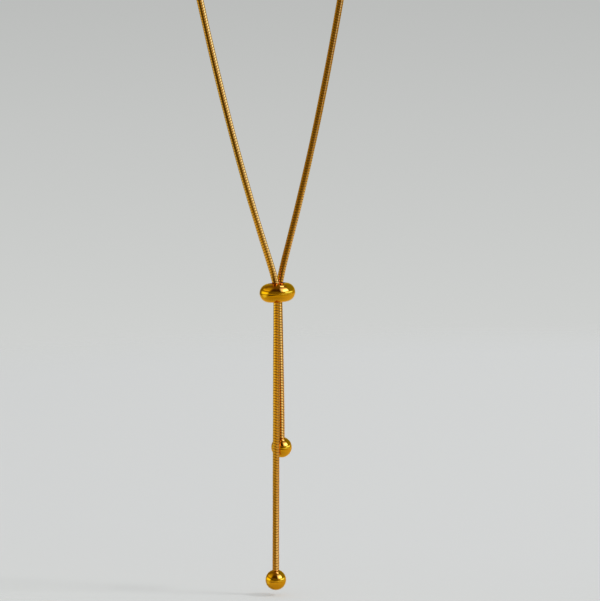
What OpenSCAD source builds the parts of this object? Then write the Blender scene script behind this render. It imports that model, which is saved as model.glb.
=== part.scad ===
// Slider necklace: one round snake chain whose strands meet in a bead and hang below it as two
// tails with balls. It hangs from the crown of its loop, whose underside is the origin. The loop
// lies in the XZ plane, with its left strand at -X, and +Z points up.

/* [Chain] */
// Diameter of the round snake chain
chain_d = 1.35; // [1:0.05:1.4]

/* [Neck loop] */
// Height over the slider's middle at which the strands go over into the arch
strand_rise = 210; // [160:5:240]
// Sideways pull of the left strand, as a length of chain of that weight
pull_l = 40; // [30:1:50]
// Sideways pull of the right strand, as a length of chain of that weight
pull_r = 29; // [24:1:40]
// Lean of the left strand over the slider, in degrees
lean_l = 21.6; // [16:0.2:26]
// Lean of the right strand over the slider, in degrees
lean_r = 18.9; // [14:0.1:24]
// Length over which the left strand bends from upright into its lean
ease_l = 2.1; // [2:0.1:4]
// Length over which the right strand bends from upright into its lean
ease_r = 2.7; // [2:0.1:4]

/* [Slider] */
// Outer diameter of the slider bead
slider_d = 7.15; // [6.4:0.05:8]
// Thickness of the slider bead along its hole
slider_h = 3.75; // [3:0.05:4]
// Diameter of the hole that both strands share
slider_bore = 3.6; // [3.5:0.1:3.7]
// Rounding of the hole's two mouths
slider_lip = 0.3; // [0.2:0.05:0.4]
// How far the bead's middle lies to the left of the middle between both strands
slider_off = 0.1; // [0:0.01:0.1]
// Tilt of the bead on the chain, in degrees
slider_tilt = 3.8; // [0:0.1:4.5]
// Compass direction of the bead's higher side, in degrees from +X
slider_high_side = -30; // [-90:5:90]
// Distance between the middles of the two strands in the bead
pair_pitch = 1.45; // [1.4:0.01:1.5]
// Direction from the left strand to the right one in the bead, in degrees from +X
pair_turn = 42; // [20:1:60]

/* [Tails] */
// Diameter of the end balls
ball_d = 4.15; // [3:0.05:5]
// From the slider's middle down to the middle of the long tail's ball
long_tail = 57.9; // [45:0.1:80]
// From the slider's middle down to the middle of the short tail's ball
short_tail = 31.4; // [25:0.1:40]
// How far the long tail's ball hangs out of line along X
long_out_x = -0.25; // [-0.3:0.05:0]
// How far the short tail's ball is pushed out of line along X
short_out_x = 1.1; // [1.1:0.05:2]
// How far the short tail's ball is pushed back along Y
short_out_y = 0.95; // [0.85:0.05:2]
// How deep the chain's end sits in its ball
socket_in = 1.3; // [1:0.1:1.5]

/* [Hidden] */
gold = [0.80, 0.58, 0.20];
gap = 0.1;             // clearance of the chain in a ball's socket
tube_sides = 12;
strand_steps = 17;     // rings along each strand above its bend
bend_steps = 5;        // rings along the bend over the slider
arch_step = 10;        // degrees between the rings of the arch
tail_steps = 5;        // rings down each tail
bend_end = 10;         // height at which the bend over the slider has died out
$fn = 64;

// Where each strand stands in the slider, right and left of the middle between them
pair_x = pair_pitch / 2 * cos(pair_turn);
pair_y = pair_pitch / 2 * sin(pair_turn);

// A strand hangs as a catenary. It leaves the slider upright and bends into its lean.
function acosh(u) = ln(u + sqrt(u * u - 1));
function low_point(pull, lean) = pull / sin(lean);
function strand_out(z, pull, lean, ease) =
    pair_x
    + pull * (acosh((z + low_point(pull, lean)) / pull) - acosh(low_point(pull, lean) / pull))
    - tan(lean) * ease * (1 - exp(-z / ease));
function lean_at(z, pull, lean) = asin(pull / (z + low_point(pull, lean)));

// The strand on one side, side = -1 on the left: it starts in the slider and comes into the
// loop's plane on its way up
function strand_point(z, side, pull, lean, ease) =
    [side * strand_out(z, pull, lean, ease), side * pair_y * (1 - z / strand_rise), z];
function strand(side, pull, lean, ease) =
    let (rest = strand_rise - bend_end,
         heights = concat([for (i = [0 : bend_steps - 1]) bend_end * i / bend_steps],
                          [for (i = [0 : strand_steps]) bend_end + rest * i / strand_steps]))
    [for (z = heights) strand_point(z, side, pull, lean, ease)];

// The arch over the top: each half is an arc that goes on in its own strand's direction, and both
// arcs are level where they meet at the crown
top_l = lean_at(strand_rise, pull_l, lean_l);
top_r = lean_at(strand_rise, pull_r, lean_r);
out_l = strand_out(strand_rise, pull_l, lean_l, ease_l);
out_r = strand_out(strand_rise, pull_r, lean_r, ease_r);
span_l = (out_l + out_r) * tan(45 + top_r / 2) / (tan(45 + top_l / 2) + tan(45 + top_r / 2));
arc_l = span_l / cos(top_l);
arc_r = (out_l + out_r - span_l) / cos(top_r);
crown_x = span_l - out_l;
crown_z = strand_rise + arc_l * (1 + sin(top_l));
function arch_half(side, radius, lean) =
    let (steps = ceil((90 + lean) / arch_step))
    [for (i = [1 : steps - 1])
        let (a = -lean + (90 + lean) * i / steps)
        [crown_x + side * radius * cos(a), 0, crown_z - radius + radius * sin(a)]];

// A tail leaves the slider at a slight slant and hangs ever straighter towards its ball
function tail_share(drop, tail) = max(0, drop - slider_h / 2) / (tail - slider_h / 2);
function tail_drift(share) = share * (1.5 - 0.5 * share);
function tail_point(drop, side, tail, out) =
    [side * pair_x + out[0] * tail_drift(tail_share(drop, tail)),
     side * pair_y + out[1] * tail_drift(tail_share(drop, tail)),
     -drop];
function tail_end(tail) = tail - ball_d / 2 + socket_in;
function tail(side, tail, out) =
    [for (i = [0 : tail_steps])
        tail_point(slider_h / 2 + (tail_end(tail) - slider_h / 2) * i / tail_steps,
                   side, tail, out)];
long_out = [long_out_x, 0];
short_out = [short_out_x, short_out_y];

function backwards(list) = [for (i = [len(list) - 1 : -1 : 0]) list[i]];
route = concat(
    backwards(tail(-1, long_tail, long_out)),
    strand(-1, pull_l, lean_l, ease_l),
    arch_half(-1, arc_l, top_l),
    [[crown_x, 0, crown_z]],
    backwards(arch_half(1, arc_r, top_r)),
    backwards(strand(1, pull_r, lean_r, ease_r)),
    tail(1, short_tail, short_out));

function unit(v) = v / norm(v);
function heading(path, i) = unit(path[min(i + 1, len(path) - 1)] - path[max(i - 1, 0)]);

// Tube of one diameter along a path that never runs along Y
module tube(path, d, sides) {
    rings = len(path);
    points = [for (i = [0 : rings - 1])
        let (along = heading(path, i), across = unit(cross(along, [0, 1, 0])),
             deep = cross(across, along))
        for (k = [0 : sides - 1])
            path[i] + d / 2 * (across * cos(360 * k / sides) + deep * sin(360 * k / sides))];
    walls = [for (i = [0 : rings - 2], k = [0 : sides - 1])
        [i * sides + k, i * sides + (k + 1) % sides,
         (i + 1) * sides + (k + 1) % sides, (i + 1) * sides + k]];
    ends = [[for (k = [sides - 1 : -1 : 0]) k],
            [for (k = [0 : sides - 1]) (rings - 1) * sides + k]];
    polyhedron(points, concat(walls, ends), convexity = 10);
}

// Everything above is measured from the middle between both strands at the slider's height, and
// is moved to hang from the crown
module from_crown() {
    translate([-crown_x, 0, -(crown_z - chain_d / 2)]) children();
}

module snake_chain() {
    color(gold) from_crown() tube(route, chain_d, tube_sides);
}

// Section of the bead: a full round rim, cut by the hole, whose mouths are rounded
module slider_section() {
    rim = slider_h / 2;
    rim_x = slider_d / 2 - rim;
    wall_x = slider_bore / 2;
    lip_x = wall_x + slider_lip;
    lip_z = sqrt(pow(rim - slider_lip, 2) - pow(lip_x - rim_x, 2));
    difference() {
        translate([rim_x, 0]) circle(r = rim);
        translate([lip_x - slider_d, -slider_h]) square([slider_d, 2 * slider_h]);
    }
    translate([wall_x, -lip_z]) square([2 * slider_lip, 2 * lip_z]);
    for (side = [-1, 1]) translate([lip_x, side * lip_z]) circle(r = slider_lip);
}

module slider_bead() {
    color(gold) from_crown() translate([-slider_off, 0, 0])
        rotate([0, 0, slider_high_side]) rotate([0, -slider_tilt, 0])
            rotate_extrude() slider_section();
}

// Ball with a socket for the chain's end, turned to face the way the chain comes in
module end_ball(side, tail, out) {
    middle = tail_point(tail, side, tail, out);
    comes_from = tail_point(tail_end(tail) - ball_d, side, tail, out) - middle;
    color(gold) from_crown()
        translate(middle)
            rotate(acos(unit(comes_from)[2]), cross([0, 0, 1], comes_from))
                difference() {
                    sphere(d = ball_d);
                    translate([0, 0, ball_d / 2 - socket_in - gap])
                        cylinder(d = chain_d + 2 * gap, h = ball_d);
                }
}
module long_end_ball() { end_ball(-1, long_tail, long_out); }
module short_end_ball() { end_ball(1, short_tail, short_out); }

snake_chain();
slider_bead();
long_end_ball();
short_end_ball();
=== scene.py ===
# Slider necklace of round snake chain, hanging by its loop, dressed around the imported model.
import math

import bmesh
import bpy
from mathutils import Matrix, Vector


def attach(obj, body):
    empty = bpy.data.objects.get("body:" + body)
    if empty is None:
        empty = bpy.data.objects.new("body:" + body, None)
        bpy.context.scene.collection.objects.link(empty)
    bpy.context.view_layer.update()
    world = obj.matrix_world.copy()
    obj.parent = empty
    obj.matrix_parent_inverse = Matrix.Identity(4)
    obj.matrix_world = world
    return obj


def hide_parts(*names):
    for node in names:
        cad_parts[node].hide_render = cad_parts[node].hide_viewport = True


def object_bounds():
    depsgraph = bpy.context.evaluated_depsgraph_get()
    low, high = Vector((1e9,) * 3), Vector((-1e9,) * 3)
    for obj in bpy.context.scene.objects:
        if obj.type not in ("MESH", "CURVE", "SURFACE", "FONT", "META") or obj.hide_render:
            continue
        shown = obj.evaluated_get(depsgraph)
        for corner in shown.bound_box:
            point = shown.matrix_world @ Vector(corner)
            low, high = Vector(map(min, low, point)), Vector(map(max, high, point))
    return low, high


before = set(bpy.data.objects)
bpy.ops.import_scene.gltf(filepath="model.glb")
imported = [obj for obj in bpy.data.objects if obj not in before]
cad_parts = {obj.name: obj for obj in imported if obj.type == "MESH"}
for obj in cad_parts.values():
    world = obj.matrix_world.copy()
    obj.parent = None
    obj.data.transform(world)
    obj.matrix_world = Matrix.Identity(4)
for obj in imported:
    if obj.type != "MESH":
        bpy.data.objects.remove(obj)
cad_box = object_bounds()
MM = 0.001

# Snake chain: one length of round snake chain in gold-plated brass. Each link is a thin ring bent
# into a shallow saddle, and the links nest so closely that only hairline seams show. Both strands
# of its loop run down through the slider and end in the balls.
CHAIN_WIDTH = 1.35 * MM
SIDE = {"left": -1, "right": 1}
STRAND_RISE = 210 * MM
PULL = {"left": 40 * MM, "right": 29 * MM}
LEAN = {"left": math.radians(21.6), "right": math.radians(18.9)}
BEND_EASE = {"left": 2.1 * MM, "right": 2.7 * MM}
SLIDER_HEIGHT = 3.75 * MM
PAIR_PITCH = 1.45 * MM
PAIR_TURN = math.radians(42)
BALL_WIDTH = 4.15 * MM
TAIL_LENGTH = {"left": 57.9 * MM, "right": 31.4 * MM}
TAIL_OUT = {"left": Vector((-0.25, 0, 0)) * MM, "right": Vector((1.1, 0.95, 0)) * MM}
TAIL_SLANT = 1.5  # a tail's slant right under the slider, over its mean slant
SOCKET_IN = 1.3 * MM
ROUTE_STEP = 0.5 * MM

pair_half = Vector((math.cos(PAIR_TURN), math.sin(PAIR_TURN), 0)) * PAIR_PITCH / 2


def strand_out(side, rise):
    """How far a strand stands from the slider's axis at a height over the slider's middle."""
    pull, lean, ease = PULL[side], LEAN[side], BEND_EASE[side]
    low_point = pull / math.sin(lean)
    hanging = math.acosh((rise + low_point) / pull) - math.acosh(low_point / pull)
    upright_start = math.tan(lean) * ease * (1 - math.exp(-rise / ease))
    return pair_half.x + pull * hanging - upright_start


def strand_lean(side, rise):
    """Angle of a strand from upright at a height over the slider's middle."""
    return math.asin(PULL[side] / (rise + PULL[side] / math.sin(LEAN[side])))


# The arch over the top: each half is an arc that goes on in its own strand's direction, and both
# arcs are level where they meet at the crown
top_lean = {side: strand_lean(side, STRAND_RISE) for side in SIDE}
top_out = {side: strand_out(side, STRAND_RISE) for side in SIDE}
half_turn = {side: math.tan(math.pi / 4 + top_lean[side] / 2) for side in SIDE}
top_width = top_out["left"] + top_out["right"]
left_span = top_width * half_turn["right"] / (half_turn["left"] + half_turn["right"])
arch_radius = {
    "left": left_span / math.cos(top_lean["left"]),
    "right": (top_width - left_span) / math.cos(top_lean["right"]),
}
crown = Vector((left_span - top_out["left"], 0, 0))
crown.z = STRAND_RISE + arch_radius["left"] * (1 + math.sin(top_lean["left"]))
pair_middle = Vector((0, 0, CHAIN_WIDTH / 2)) - crown


def tail_point(side, drop):
    """Middle of a tail at a depth under the slider's middle, drifting out towards its ball."""
    below = max(0, drop - SLIDER_HEIGHT / 2) / (TAIL_LENGTH[side] - SLIDER_HEIGHT / 2)
    drift = below * (TAIL_SLANT - (TAIL_SLANT - 1) * below)
    return SIDE[side] * pair_half + TAIL_OUT[side] * drift - Vector((0, 0, drop))


def tail_end(side):
    """Depth of a tail's end, inside its ball."""
    return TAIL_LENGTH[side] - BALL_WIDTH / 2 + SOCKET_IN


def strand_point(side, rise):
    """Middle of a strand, which comes into the loop's plane on its way up."""
    across = SIDE[side] * strand_out(side, rise)
    return Vector((across, SIDE[side] * pair_half.y * (1 - rise / STRAND_RISE), rise))


def arch_point(side, share):
    """Middle of the chain on one half of the arch, from its strand at 0 to the crown at 1."""
    radius = arch_radius[side]
    angle = -top_lean[side] + (math.pi / 2 + top_lean[side]) * share
    middle = crown - Vector((0, 0, radius))
    return middle + radius * Vector((SIDE[side] * math.cos(angle), 0, math.sin(angle)))


def half_route(side):
    """One side of the chain, from its tail's end to just short of the crown."""
    steps = round(tail_end(side) / ROUTE_STEP)
    points = [tail_point(side, tail_end(side) * (1 - i / steps)) for i in range(steps)]
    steps = round(STRAND_RISE / ROUTE_STEP)
    points += [strand_point(side, STRAND_RISE * i / steps) for i in range(steps)]
    steps = round(arch_radius[side] * math.pi / 2 / ROUTE_STEP)
    return points + [arch_point(side, i / steps) for i in range(steps)]


route = half_route("left") + [crown] + list(reversed(half_route("right")))
route = [point + pair_middle for point in route]
travelled = [0.0]
for here, there in zip(route, route[1:]):
    travelled.append(travelled[-1] + (there - here).length)
chain_length = travelled[-1]


def in_scene(name, data):
    """An object with the given mesh, curve, lamp or camera, put into the scene."""
    placed = bpy.data.objects.new(name, data)
    bpy.context.scene.collection.objects.link(placed)
    return placed


# The chain is laid along its route with a slow twist, as it hangs
TWIST_PER_METRE = math.radians(1500)
TWIST_START = math.radians(60)
line = bpy.data.curves.new("chain_route", "CURVE")
line.dimensions = "3D"
line.twist_mode = "MINIMUM"
spline = line.splines.new("POLY")
spline.points.add(len(route) - 1)
for knot, place, along in zip(spline.points, route, travelled):
    knot.co = (*place, 1)
    knot.tilt = TWIST_START + TWIST_PER_METRE * along
route_line = in_scene("chain_route", line)

LINK_PITCH = 0.535 * MM
LINK_SIDES = 12
LINK_WELD = 0.01 * MM
SADDLE = 0.13 * MM
# Rows of one link: how far along its pitch, how deep under its face, and how dark with seam dirt
# and painted shade
LINK_ROWS = (
    {"along": 0.00, "depth": 0.006 * MM, "seam_dirt_and_shade": 1.0},
    {"along": 0.11, "depth": 0.000 * MM, "seam_dirt_and_shade": 0.8},
    {"along": 0.16, "depth": 0.000 * MM, "seam_dirt_and_shade": 0.0},
    {"along": 0.84, "depth": 0.000 * MM, "seam_dirt_and_shade": 0.0},
    {"along": 0.89, "depth": 0.000 * MM, "seam_dirt_and_shade": 0.8},
    {"along": 1.00, "depth": 0.006 * MM, "seam_dirt_and_shade": 1.0},
)
# Shares of a row's depth and of its seam dirt and painted shade, at the saddle's crests and dips
# and half-way between them
DEPTH_AT_CRESTS = 1.35
DEPTH_BETWEEN = 0.65
SEAM_DIRT_AND_SHADE_BETWEEN = 0.85


def saddle_link(pitch):
    """One link, open at both ends, so that the next one grows out of it."""
    link = bmesh.new()
    seam_dirt_and_shade = link.verts.layers.float.new("seam_dirt_and_shade")
    bmesh.ops.create_circle(link, segments=LINK_SIDES, radius=CHAIN_WIDTH / 2)
    rim = link.edges[:]
    rows = [link.verts[:]]
    for row in LINK_ROWS[1:]:
        grown = bmesh.ops.extrude_edge_only(link, edges=rim)["geom"]
        rim = [item for item in grown if isinstance(item, bmesh.types.BMEdge)]
        rows.append([item for item in grown if isinstance(item, bmesh.types.BMVert)])
    for row, corners in zip(LINK_ROWS, rows):
        for corner in corners:
            round_link = math.atan2(corner.co.y, corner.co.x)
            crest = abs(math.cos(2 * round_link))
            depth = row["depth"] * (DEPTH_BETWEEN + (DEPTH_AT_CRESTS - DEPTH_BETWEEN) * crest)
            corner.co *= 1 - depth / (CHAIN_WIDTH / 2)
            corner.co.z = row["along"] * pitch + SADDLE * math.cos(2 * round_link)
            # Painted seam shade with some dirt: the rows at each seam are darkened, most at the
            # saddle's crests
            corner[seam_dirt_and_shade] = row["seam_dirt_and_shade"] * (SEAM_DIRT_AND_SHADE_BETWEEN + (1 - SEAM_DIRT_AND_SHADE_BETWEEN) * crest)
    return link


link_count = round(chain_length / LINK_PITCH)
even_pitch = chain_length / link_count
first_link = saddle_link(even_pitch)
link_mesh = bpy.data.meshes.new("first_link")
first_link.to_mesh(link_mesh)
first_link.free()
straight = in_scene("straight_chain", link_mesh)
repeat = straight.modifiers.new("links", "ARRAY")
repeat.count = link_count
repeat.use_relative_offset = False
repeat.use_constant_offset = True
repeat.constant_offset_displace = (0, 0, even_pitch)
repeat.use_merge_vertices = True
repeat.merge_threshold = LINK_WELD
follow = straight.modifiers.new("route", "CURVE")
follow.object = route_line
follow.deform_axis = "POS_Z"
depsgraph = bpy.context.evaluated_depsgraph_get()
laid = bpy.data.meshes.new_from_object(straight.evaluated_get(depsgraph))
bpy.data.objects.remove(straight)
bpy.data.objects.remove(route_line)

# Both ends of the laid chain are closed
closing = bmesh.new()
closing.from_mesh(laid)
bmesh.ops.holes_fill(closing, edges=[edge for edge in closing.edges if edge.is_boundary])
bmesh.ops.recalc_face_normals(closing, faces=closing.faces)
for face in closing.faces:
    face.smooth = len(face.verts) == 4
closing.to_mesh(laid)
closing.free()
laid.name = "snake_chain_links"
snake_chain = in_scene("snake_chain_links", laid)


def give(tree, socket, value):
    """Links an output to a node's input, or sets the input to a plain value."""
    if isinstance(value, bpy.types.NodeSocket):
        tree.links.new(value, socket)
    else:
        socket.default_value = value


def worked_out(tree, operation, *values):
    """Result of one sum on outputs or plain values."""
    node = tree.nodes.new("ShaderNodeMath")
    node.operation = operation
    for socket, value in zip(node.inputs, values):
        give(tree, socket, value)
    return node.outputs[0]


def remapped(tree, value, given, wanted, smooth=False):
    """A value out of the range given, carried over to the range wanted."""
    node = tree.nodes.new("ShaderNodeMapRange")
    if smooth:
        node.interpolation_type = "SMOOTHSTEP"
    for name, end in zip(("From Min", "From Max", "To Min", "To Max"), (*given, *wanted)):
        node.inputs[name].default_value = end
    tree.links.new(value, node.inputs["Value"])
    return node.outputs["Result"]


def noise(tree, place, scale, detail):
    """Soft noise at a place."""
    node = tree.nodes.new("ShaderNodeTexNoise")
    node.inputs["Detail"].default_value = detail
    tree.links.new(place, node.inputs["Vector"])
    tree.links.new(scale, node.inputs["Scale"])
    return node.outputs["Fac"]


def mixed(tree, factor, first, second):
    """Colour between two colours."""
    node = tree.nodes.new("ShaderNodeMix")
    node.data_type = "RGBA"
    for name, value in (("Factor", factor), ("A", first), ("B", second)):
        give(tree, node.inputs[name], value)
    return node.outputs["Result"]


HAIRLINE_TURNS = ((0.4, 0.2, 0.1), (1.3, -0.5, 0.9), (-0.7, 0.8, 2.1))
HAIRLINE_STRETCH = (0.05, 1, 1)
HAIRLINE_DETAIL = 1
HAIRLINE_CUT = (0.64, 0.72)
HAZE_DETAIL = 3


def handling_marks_group():
    """Masks of the marks that handling leaves on gold plate: fine hairlines and soft haze."""
    group = bpy.data.node_groups.new("handling_marks", "ShaderNodeTree")
    sockets = (
        ("Hairline spacing", "INPUT"),
        ("Haze size", "INPUT"),
        ("Hairlines", "OUTPUT"),
        ("Haze", "OUTPUT"),
    )
    for name, way in sockets:
        group.interface.new_socket(name, in_out=way, socket_type="NodeSocketFloat")
    given = group.nodes.new("NodeGroupInput")
    made = group.nodes.new("NodeGroupOutput")
    place = group.nodes.new("ShaderNodeTexCoord").outputs["Object"]
    hairline_scale = worked_out(group, "DIVIDE", 1, given.outputs["Hairline spacing"])
    haze_scale = worked_out(group, "DIVIDE", 1, given.outputs["Haze size"])

    directions = []
    for turn in HAIRLINE_TURNS:
        stretch = group.nodes.new("ShaderNodeMapping")
        stretch.inputs["Rotation"].default_value = turn
        stretch.inputs["Scale"].default_value = HAIRLINE_STRETCH
        group.links.new(place, stretch.inputs["Vector"])
        streaks = noise(group, stretch.outputs["Vector"], hairline_scale, HAIRLINE_DETAIL)
        directions.append(remapped(group, streaks, HAIRLINE_CUT, (0, 1)))
    hairlines = directions[0]
    for more in directions[1:]:
        hairlines = worked_out(group, "MAXIMUM", hairlines, more)
    group.links.new(hairlines, made.inputs["Hairlines"])
    group.links.new(noise(group, place, haze_scale, HAZE_DETAIL), made.inputs["Haze"])
    return group


handling_marks = handling_marks_group()

GOLD_RIM = (1, 0.88, 0.5, 1)
HAIRLINE_STRENGTH = 0.08
HAIRLINE_DEPTH = 0.01 * MM


def gold_plate(name, hairline_spacing, haze_size):
    """Starts a gold-plated material: its shader, its marks' masks and its hairlines' relief."""
    material = bpy.data.materials.new(name)
    material.use_nodes = True
    tree = material.node_tree
    shader = tree.nodes["Principled BSDF"]
    shader.inputs["Metallic"].default_value = 1
    shader.inputs["Specular Tint"].default_value = GOLD_RIM
    marks = tree.nodes.new("ShaderNodeGroup")
    marks.node_tree = handling_marks
    marks.inputs["Hairline spacing"].default_value = hairline_spacing
    marks.inputs["Haze size"].default_value = haze_size
    relief = tree.nodes.new("ShaderNodeBump")
    relief.invert = True
    relief.inputs["Strength"].default_value = HAIRLINE_STRENGTH
    relief.inputs["Distance"].default_value = HAIRLINE_DEPTH
    tree.links.new(marks.outputs["Hairlines"], relief.inputs["Height"])
    tree.links.new(relief.outputs["Normal"], shader.inputs["Normal"])
    return material, shader, marks.outputs, relief


LINK_HAIRLINES = 0.12 * MM
LINK_HAZE = 0.9 * MM
LINK_FACE = (0.86, 0.345, 0.060, 1)
# Seam colour: dirt, and painted shade standing in for the gaps between the nested links, which are
# almost flat here
SEAM_DIRT_AND_SHADE_COLOUR = (0.05, 0.017, 0.004, 1)
LEAST_SEAM_DARKENING = 0.7
FACE_TO_SEAM_ROUGHNESS = (0.08, 0.34)


def chain_gold():
    """Bright link faces that go dull and dark brown at the seams: dirt and old polish there, with
    painted shade of the gaps between the links.
    """
    material, shader, marks, _ = gold_plate("chain_gold", LINK_HAIRLINES, LINK_HAZE)
    tree = material.node_tree
    seam_dirt_and_shade = tree.nodes.new("ShaderNodeAttribute")
    seam_dirt_and_shade.attribute_name = "seam_dirt_and_shade"
    uneven = remapped(tree, marks["Haze"], (0, 1), (LEAST_SEAM_DARKENING, 1))
    # The seams are darkened in the base colour: part dirt, part painted shade of the gaps between
    # links
    seam = worked_out(tree, "MULTIPLY", seam_dirt_and_shade.outputs["Fac"], uneven)
    tree.links.new(mixed(tree, seam, LINK_FACE, SEAM_DIRT_AND_SHADE_COLOUR), shader.inputs["Base Color"])
    dull = remapped(tree, seam, (0, 1), FACE_TO_SEAM_ROUGHNESS)
    tree.links.new(dull, shader.inputs["Roughness"])
    return material


laid.materials.clear()
laid.materials.append(chain_gold())
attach(snake_chain, "root")
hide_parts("snake_chain")

# Slider bead: a full, flattened bead of thin gold-plated brass with one wide hole for both strands,
# its mouths rolled over to a smooth lip. It grips by friction and sits a little askew.
SLIDER_WIDTH = 7.15 * MM
SLIDER_BORE = 3.6 * MM
SLIDER_LIP = 0.3 * MM
SLIDER_OFF = Vector((-0.1, 0, 0)) * MM
SLIDER_TILT = math.radians(3.8)
SLIDER_HIGH_SIDE = math.radians(-30)
RIM_SIDES = 72
LIP_STEPS = 6
TURN_STEPS = 96
NEAR_WALL = 0.001 * MM
SLIDER_WELD = 0.0001 * MM


def slider_shell():
    """The bead about its own middle: a round rim section, cut by the hole, spun about the hole."""
    bead = bmesh.new()
    rim = SLIDER_HEIGHT / 2
    bmesh.ops.create_circle(bead, cap_ends=True, segments=RIM_SIDES, radius=rim)
    bmesh.ops.rotate(bead, verts=bead.verts, matrix=Matrix.Rotation(math.pi / 2, 3, "X"))
    bmesh.ops.translate(bead, verts=bead.verts, vec=(SLIDER_WIDTH / 2 - rim, 0, 0))
    wall = (SLIDER_BORE / 2, 0, 0)
    everything = bead.verts[:] + bead.edges[:] + bead.faces[:]
    bmesh.ops.bisect_plane(
        bead, geom=everything, plane_co=wall, plane_no=(1, 0, 0), clear_inner=True
    )
    mouths = [corner for corner in bead.verts if corner.co.x < SLIDER_BORE / 2 + NEAR_WALL]
    bmesh.ops.bevel(
        bead,
        geom=mouths,
        offset=SLIDER_LIP,
        offset_type="OFFSET",
        affect="VERTICES",
        segments=LIP_STEPS,
        profile=0.5,
        material=-1,
    )
    bmesh.ops.delete(bead, geom=bead.faces[:], context="FACES_ONLY")
    bmesh.ops.spin(
        bead,
        geom=bead.verts[:] + bead.edges[:],
        cent=(0, 0, 0),
        axis=(0, 0, 1),
        angle=2 * math.pi,
        steps=TURN_STEPS,
        use_merge=True,
    )
    bmesh.ops.remove_doubles(bead, verts=bead.verts, dist=SLIDER_WELD)
    return bead


def finished_piece(shape, name, place):
    """Turns a bmesh into a smooth object at the origin, with its place in its mesh."""
    bmesh.ops.transform(shape, matrix=place, verts=shape.verts)
    bmesh.ops.recalc_face_normals(shape, faces=shape.faces)
    for face in shape.faces:
        face.smooth = True
    mesh = bpy.data.meshes.new(name)
    shape.to_mesh(mesh)
    shape.free()
    return in_scene(name, mesh)


askew = Matrix.Rotation(SLIDER_HIGH_SIDE, 4, "Z") @ Matrix.Rotation(-SLIDER_TILT, 4, "Y")
on_strands = Matrix.Translation(pair_middle + SLIDER_OFF)
slider = finished_piece(slider_shell(), "slider_bead_polished", on_strands @ askew)

POLISH_HAIRLINES = 0.16 * MM
POLISH_HAZE = 1.6 * MM
CLEAR_POLISH = (0.90, 0.375, 0.012, 1)
HAZY_POLISH = (0.88, 0.388, 0.017, 1)
HAZE_SHOWS = (0.35, 0.75)
CLEAR_TO_HAZY_ROUGHNESS = (0.05, 0.12)
SCRATCH_ROUGHNESS = 0.12
PLATE_STRENGTH = 0.10
PLATE_DEPTH = 0.05 * MM


def polished_gold():
    """Mirror polish over a slightly uneven plate, with hairlines and a breath of haze."""
    material, shader, marks, relief = gold_plate("polished_gold", POLISH_HAIRLINES, POLISH_HAZE)
    tree = material.node_tree
    colour = mixed(tree, marks["Haze"], CLEAR_POLISH, HAZY_POLISH)
    tree.links.new(colour, shader.inputs["Base Color"])
    haze = remapped(tree, marks["Haze"], HAZE_SHOWS, CLEAR_TO_HAZY_ROUGHNESS)
    scratched = worked_out(tree, "MULTIPLY_ADD", marks["Hairlines"], SCRATCH_ROUGHNESS, haze)
    tree.links.new(scratched, shader.inputs["Roughness"])
    uneven = tree.nodes.new("ShaderNodeBump")
    uneven.inputs["Strength"].default_value = PLATE_STRENGTH
    uneven.inputs["Distance"].default_value = PLATE_DEPTH
    tree.links.new(marks["Haze"], uneven.inputs["Height"])
    tree.links.new(uneven.outputs["Normal"], relief.inputs["Normal"])
    return material


polish = polished_gold()
slider.data.materials.append(polish)
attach(slider, "root")
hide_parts("slider_bead")

# End balls: two solid brass balls, gold plated and mirror polished. Each is drilled a little way in
# from the top, and the chain's end is glued into that socket.
SOCKET_CLEARANCE = 0.1 * MM
BALL_SEGMENTS = 64
BALL_RINGS = 48
MOUTH_ROUNDING = 0.06 * MM
MOUTH_STEPS = 4


def drilled_ball():
    """The ball about its own middle, with its socket facing up."""
    ball = bmesh.new()
    radius = BALL_WIDTH / 2
    hole = CHAIN_WIDTH / 2 + SOCKET_CLEARANCE
    bmesh.ops.create_uvsphere(
        ball, u_segments=BALL_SEGMENTS, v_segments=BALL_RINGS, radius=radius
    )
    mouth_height = math.sqrt(radius**2 - hole**2)
    everything = ball.verts[:] + ball.edges[:] + ball.faces[:]
    bmesh.ops.bisect_plane(
        ball, geom=everything, plane_co=(0, 0, mouth_height), plane_no=(0, 0, 1), clear_outer=True
    )
    mouth = [edge for edge in ball.edges if edge.is_boundary]
    grown = bmesh.ops.extrude_edge_only(ball, edges=mouth)["geom"]
    floor_rim = [item for item in grown if isinstance(item, bmesh.types.BMVert)]
    socket_floor = radius - SOCKET_IN - SOCKET_CLEARANCE
    bmesh.ops.translate(ball, verts=floor_rim, vec=(0, 0, socket_floor - mouth_height))
    open_edges = [edge for edge in ball.edges if edge.is_boundary]
    bmesh.ops.holes_fill(ball, edges=open_edges)
    bmesh.ops.bevel(
        ball,
        geom=mouth,
        offset=MOUTH_ROUNDING,
        offset_type="OFFSET",
        affect="EDGES",
        segments=MOUTH_STEPS,
        profile=0.5,
        material=-1,
    )
    return ball


def end_ball(side, name, node):
    """The ball on the end of one tail, its socket turned to face the way the chain comes in."""
    middle = tail_point(side, TAIL_LENGTH[side])
    up_chain = tail_point(side, tail_end(side) - BALL_WIDTH) - middle
    facing = Vector((0, 0, 1)).rotation_difference(up_chain).to_matrix().to_4x4()
    place = Matrix.Translation(pair_middle + middle) @ facing
    ball = finished_piece(drilled_ball(), name, place)
    ball.data.materials.append(polish)
    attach(ball, "root")
    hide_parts(node)


end_ball("left", "long_end_ball_polished", "long_end_ball")
end_ball("right", "short_end_ball_polished", "short_end_ball")

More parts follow.
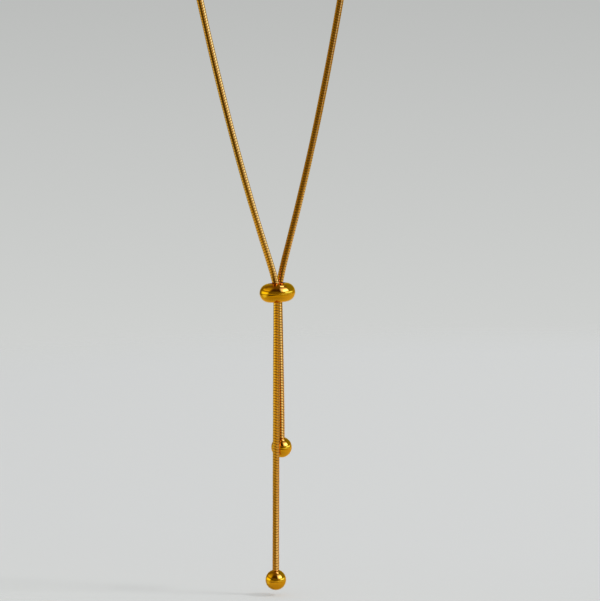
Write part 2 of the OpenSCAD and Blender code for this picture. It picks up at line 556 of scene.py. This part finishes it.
# Floor: plain pale board just under the lower ball. It lies mostly behind the necklace and fades
# out into the pale surroundings.
FLOOR_GAP = 1.1 * MM
FLOOR_RADIUS = 0.38
FLOOR_SIDES = 96
FLOOR_MIDDLE = {"right": 0.10, "behind": 0.28}
FLOOR_FADE = (0.22, 0.37)
BOARD_PAINT = (0.820, 0.835, 0.832, 1)
BOARD_ROUGHNESS = 0.9
CAMERA_AZIMUTH = math.radians(-30)


def toward(azimuth, elevation):
    """Direction seen from the necklace: azimuth from the camera's side, growing to the right."""
    turn = CAMERA_AZIMUTH + math.radians(azimuth)
    rise = math.radians(elevation)
    flat = Vector((math.sin(turn), -math.cos(turn), 0)) * math.cos(rise)
    return flat + Vector((0, 0, math.sin(rise)))


board_middle = toward(90, 0) * FLOOR_MIDDLE["right"] + toward(180, 0) * FLOOR_MIDDLE["behind"]
board_middle.z = cad_box[0].z - FLOOR_GAP
board = bmesh.new()
bmesh.ops.create_circle(board, cap_ends=True, segments=FLOOR_SIDES, radius=FLOOR_RADIUS)
bmesh.ops.translate(board, verts=board.verts, vec=board_middle)
floor_mesh = bpy.data.meshes.new("floor")
board.to_mesh(floor_mesh)
board.free()
floor = in_scene("floor", floor_mesh)


def pale_board():
    """Matt paint that fades out towards the board's rim."""
    material = bpy.data.materials.new("pale_board")
    material.use_nodes = True
    tree = material.node_tree
    shader = tree.nodes["Principled BSDF"]
    shader.inputs["Roughness"].default_value = BOARD_ROUGHNESS
    shader.inputs["Specular IOR Level"].default_value = 0
    shader.inputs["Base Color"].default_value = BOARD_PAINT
    place = tree.nodes.new("ShaderNodeTexCoord")
    far = tree.nodes.new("ShaderNodeVectorMath")
    far.operation = "DISTANCE"
    far.inputs[1].default_value = board_middle
    tree.links.new(place.outputs["Object"], far.inputs[0])
    fade = remapped(tree, far.outputs["Value"], FLOOR_FADE, (1, 0), smooth=True)
    tree.links.new(fade, shader.inputs["Alpha"])
    return material


floor_mesh.materials.append(pale_board())


# Studio light: a pale sweep behind, a dim room in front, tall windows to the right and a soft key
# light over them that throws the thin shadow across the floor.
def light_panel(name, azimuth, elevation, distance, width, height, power, colour):
    """Rectangular lamp that stands off from the slider and faces it, itself unseen."""
    lamp = bpy.data.lights.new(name, "AREA")
    lamp.shape = "RECTANGLE"
    lamp.size = width
    lamp.size_y = height
    lamp.energy = power
    lamp.color = colour
    panel = in_scene(name, lamp)
    way = toward(azimuth, elevation)
    panel.location = pair_middle + way * distance
    panel.rotation_mode = "QUATERNION"
    panel.rotation_quaternion = way.to_track_quat("Z", "Y")
    panel.visible_camera = False
    return panel


# The windows only show as bright reflections in the gold, and the key only lights the floor
DAYLIGHT = (1.0, 1.20, 7.0)
window_low = light_panel(
    "window_low", azimuth=60, elevation=30, distance=1.5, width=0.90, height=0.60, power=3.6,
    colour=DAYLIGHT,
)
window_high = light_panel(
    "window_high", azimuth=110, elevation=74, distance=1.5, width=0.50, height=0.38, power=1.3,
    colour=DAYLIGHT,
)
key = light_panel(
    "key", azimuth=78, elevation=45, distance=4, width=0.75, height=0.75, power=60,
    colour=(1, 1, 1),
)
window_low.visible_diffuse = False
window_high.visible_diffuse = False
key.visible_glossy = False

world = bpy.data.worlds.new("studio")
bpy.context.scene.world = world
world.use_nodes = True
studio = world.node_tree
studio.nodes.clear()
direction = studio.nodes.new("ShaderNodeTexCoord").outputs["Generated"]
split = studio.nodes.new("ShaderNodeSeparateXYZ")
studio.links.new(direction, split.inputs[0])
rise = split.outputs["Z"]

# A level without a colour is lamplight, which is short of blue
LAMPLIGHT = Vector((1, 1, 0.18))


def ramp_over(value, stops):
    """Colour ramp of a value, from stops of a value and a colour or level."""
    low, high = stops[0][0], stops[-1][0]
    share = remapped(studio, value, (low, high), (0, 1))
    ramp = studio.nodes.new("ShaderNodeValToRGB")
    ramp.color_ramp.elements.remove(ramp.color_ramp.elements[1])
    for at, colour in stops:
        if at == low:
            stop = ramp.color_ramp.elements[0]
        else:
            stop = ramp.color_ramp.elements.new((at - low) / (high - low))
        if isinstance(colour, (int, float)):
            colour = colour * LAMPLIGHT
        stop.color = (*colour, 1)
    studio.links.new(share, ramp.inputs["Fac"])
    return ramp.outputs["Color"]


def screen_grey(level):
    """Linear brightness of a grey that a screen shows as a level out of 255."""
    share = level / 255
    return ((share + 0.055) / 1.055) ** 2.4


# Sweep behind the necklace: sine of the elevation at which each grey shows
SWEEP = ((-0.22, 213), (-0.17, 212), (-0.09, 208), (-0.02, 197), (0.02, 189), (0.25, 172))
SWEEP_TINT = Vector((0.992, 1.010, 0.992))
sweep = ramp_over(rise, [(at, SWEEP_TINT * screen_grey(level)) for at, level in SWEEP])

# Colours of the room that the gold mirrors, from its brightest windows to its darkest corners
GLARE = (1.35, 1.66, 8.0)
PALE = (1.35, 2.50, 6.25)
WARM = (1.40, 2.30, 4.0)
GLOW = (1.27, 2.03, 3.55)
SOFT = (1.00, 1.50, 2.25)
SUNNY = (1.30, 1.60, 0.28)
MELLOW = (0.92, 1.35, 0.65)
MILKY = (0.80, 1.12, 0.88)
OLIVE = (0.25, 0.30, 0.04)
BROWN = (0.15, 0.11, 0.012)
EMBER = (0.05, 0.03, 0.005)

# The room as belts: each has an elevation, and its colours or levels over the azimuth. The tails
# mirror the belts at -6.2 and -4.5, and the left strand's bright side those just under them.
BELOW_TAILS = ((-180, 0.50), (-135, 0.16), (-98, 0.23), (-60, 0.27), (-34, 0.30), (6, 0.36),
               (31, GLOW), (60, GLOW), (85, SOFT), (114, SOFT), (130, 0.50), (180, 0.50))
AT_TAILS = ((-180, 0.50), (-135, 0.16), (-112, MELLOW), (-72, MELLOW), (-62, 0.66), (-34, 0.88),
            (-18, 0.50), (0, 0.48), (36, 0.63), (60, 0.53), (75, 0.40), (112, 0.42), (130, 0.45),
            (180, 0.50))
BELTS = (
    (-70, ((-180, 0.33), (180, 0.33))),
    (-36, ((-180, 0.42), (-60, 0.44), (20, 0.46), (60, 0.60), (100, 0.48), (180, 0.42))),
    (-31, ((-180, 0.45), (-135, 0.20), (-112, MILKY), (-90, MILKY), (-72, 0.42), (-45, 0.75),
           (-10, 0.80), (20, 0.50), (45, 0.50), (120, 0.50), (180, 0.45))),
    (-26.5, ((-180, 0.45), (-135, 0.20), (-112, MILKY), (-90, MILKY), (-72, 0.30), (-56, 0.06),
             (-28, 0.05), (-12, 0.32), (8, 0.54), (45, 0.50), (120, 0.50), (180, 0.45))),
    (-18, ((-180, 0.50), (-135, 0.16), (-112, MILKY), (-90, MILKY), (-72, 0.40), (-56, 0.09),
           (-12, 0.07), (8, 0.09), (28, 0.18), (45, 0.46), (120, 0.46), (180, 0.50))),
    (-12.5, ((-180, 0.50), (-135, 0.16), (-112, 0.90), (-98, 1.00), (-78, 0.85), (-62, 0.18),
             (-30, 0.18), (3, 0.12), (22, 0.20), (36, 0.36), (75, 0.36), (117, 0.42), (180, 0.50))),
    (-10.2, BELOW_TAILS),
    (-9.3, BELOW_TAILS),
    (-7.9, ((-180, 0.50), (-135, 0.16), (-98, 0.23), (-60, 0.27), (-34, 0.33), (0, 0.46),
            (36, 0.63), (60, 0.53), (75, 0.40), (112, 0.42), (130, 0.45), (180, 0.50))),
    (-6.2, AT_TAILS),
    (-4.5, AT_TAILS),
    (-1.5, ((-180, 0.50), (-135, 0.16), (-112, SUNNY), (-72, SUNNY), (-58, 0.15),
            (-45, 0.08), (0, 0.12), (30, 0.25), (50, 0.40), (75, 0.24), (112, 0.32), (130, 0.40),
            (180, 0.50))),
    (2.5, ((-180, 0.50), (-135, 0.16), (-112, SUNNY), (-70, SUNNY), (-55, 0.12),
           (-45, EMBER), (15, EMBER), (32, 0.26), (46, 0.38), (58, PALE), (84, PALE), (102, WARM),
           (122, 0.40), (180, 0.50))),
    (8, ((-180, 0.50), (-135, 0.16), (-112, SUNNY), (-68, SUNNY), (-54, 0.12),
         (-45, EMBER), (15, EMBER), (32, 0.26), (48, 0.34), (60, PALE), (84, PALE), (102, WARM),
         (122, 0.40), (180, 0.50))),
    (12, ((-180, 0.50), (-135, 0.16), (-112, 0.75), (-72, 0.75), (-56, 0.16),
          (-10, 0.26), (24, 0.24), (40, 0.44), (80, 0.44), (96, OLIVE), (150, OLIVE),
          (180, 0.50))),
    (15.5, ((-180, 0.45), (-135, 0.14), (-112, 0.36), (-88, 0.32), (-72, 0.13), (-10, 0.20),
            (10, 0.22), (22, 0.14), (38, 0.64), (76, 0.64), (86, OLIVE), (150, OLIVE),
            (180, 0.45))),
    (20, ((-180, 0.45), (-135, 0.14), (-112, 0.36), (-88, 0.32), (-72, 0.13), (-10, 0.15),
          (10, EMBER), (22, EMBER), (36, GLARE), (76, GLARE), (86, OLIVE), (150, OLIVE),
          (180, 0.45))),
    (24, ((-180, 0.45), (-135, 0.14), (-112, 0.90), (-66, 0.90), (-50, BROWN),
          (-40, EMBER), (20, EMBER), (32, GLARE), (76, GLARE), (86, OLIVE), (150, OLIVE),
          (180, 0.45))),
    (42, ((-180, 0.30), (-120, BROWN), (-95, 0.50), (-62, 0.55), (-46, BROWN), (-36, EMBER),
          (18, EMBER), (30, GLARE), (74, GLARE), (86, OLIVE), (150, OLIVE), (180, 0.30))),
    (80, ((-180, BROWN), (180, BROWN))),
)


def share_toward(azimuth):
    """How far a direction points to one side of the room."""
    share = studio.nodes.new("ShaderNodeVectorMath")
    share.operation = "DOT_PRODUCT"
    share.inputs[1].default_value = toward(azimuth, 0)
    studio.links.new(direction, share.inputs[0])
    return share.outputs["Value"]


around = worked_out(studio, "ARCTAN2", share_toward(90), share_toward(0))


def belt(stops):
    """One belt of the room, all the way around."""
    return ramp_over(around, [(math.radians(at), colour) for at, colour in stops])


room = belt(BELTS[0][1])
for (lower, _), (upper, stops) in zip(BELTS, BELTS[1:]):
    ends = (math.sin(math.radians(lower)), math.sin(math.radians(upper)))
    higher = remapped(studio, rise, ends, (0, 1), smooth=True)
    room = mixed(studio, higher, room, belt(stops))

# The camera sees the sweep, the gold mirrors the room, and even light fills the shadows
FILL = (0.533, 0.533, 0.533, 1)
rays = studio.nodes.new("ShaderNodeLightPath").outputs
seen = mixed(studio, rays["Is Glossy Ray"], FILL, room)
seen = mixed(studio, rays["Is Camera Ray"], seen, sweep)
glow = studio.nodes.new("ShaderNodeBackground")
studio.links.new(seen, glow.inputs["Color"])
world_output = studio.nodes.new("ShaderNodeOutputWorld")
studio.links.new(glow.outputs[0], world_output.inputs["Surface"])

# Camera: a long lens at the photograph's angle, a little over the slider and turned left of the
# loop's front.
CAMERA_RISE = 4.5
IMAGE_HEIGHT = 601
FOCAL_PIXELS = 3000
SENSOR_WIDTH = 36
CAMERA_DISTANCE = 600 * MM
AIM_RIGHT = 4.43 * MM
AIM_DOWN = 1.6 * MM

lens = bpy.data.cameras.new("camera")
lens.sensor_width = SENSOR_WIDTH
lens.lens = SENSOR_WIDTH * FOCAL_PIXELS / IMAGE_HEIGHT
lens.clip_start = 0.01
lens.clip_end = 50
camera = in_scene("camera", lens)
back = toward(0, CAMERA_RISE)
right = toward(90, 0)
up = back.cross(right)
camera.location = pair_middle + right * AIM_RIGHT - up * AIM_DOWN + back * CAMERA_DISTANCE
camera.rotation_mode = "QUATERNION"
camera.rotation_quaternion = back.to_track_quat("Z", "Y")
bpy.context.scene.camera = camera
bpy.context.scene.view_settings.view_transform = "Standard"
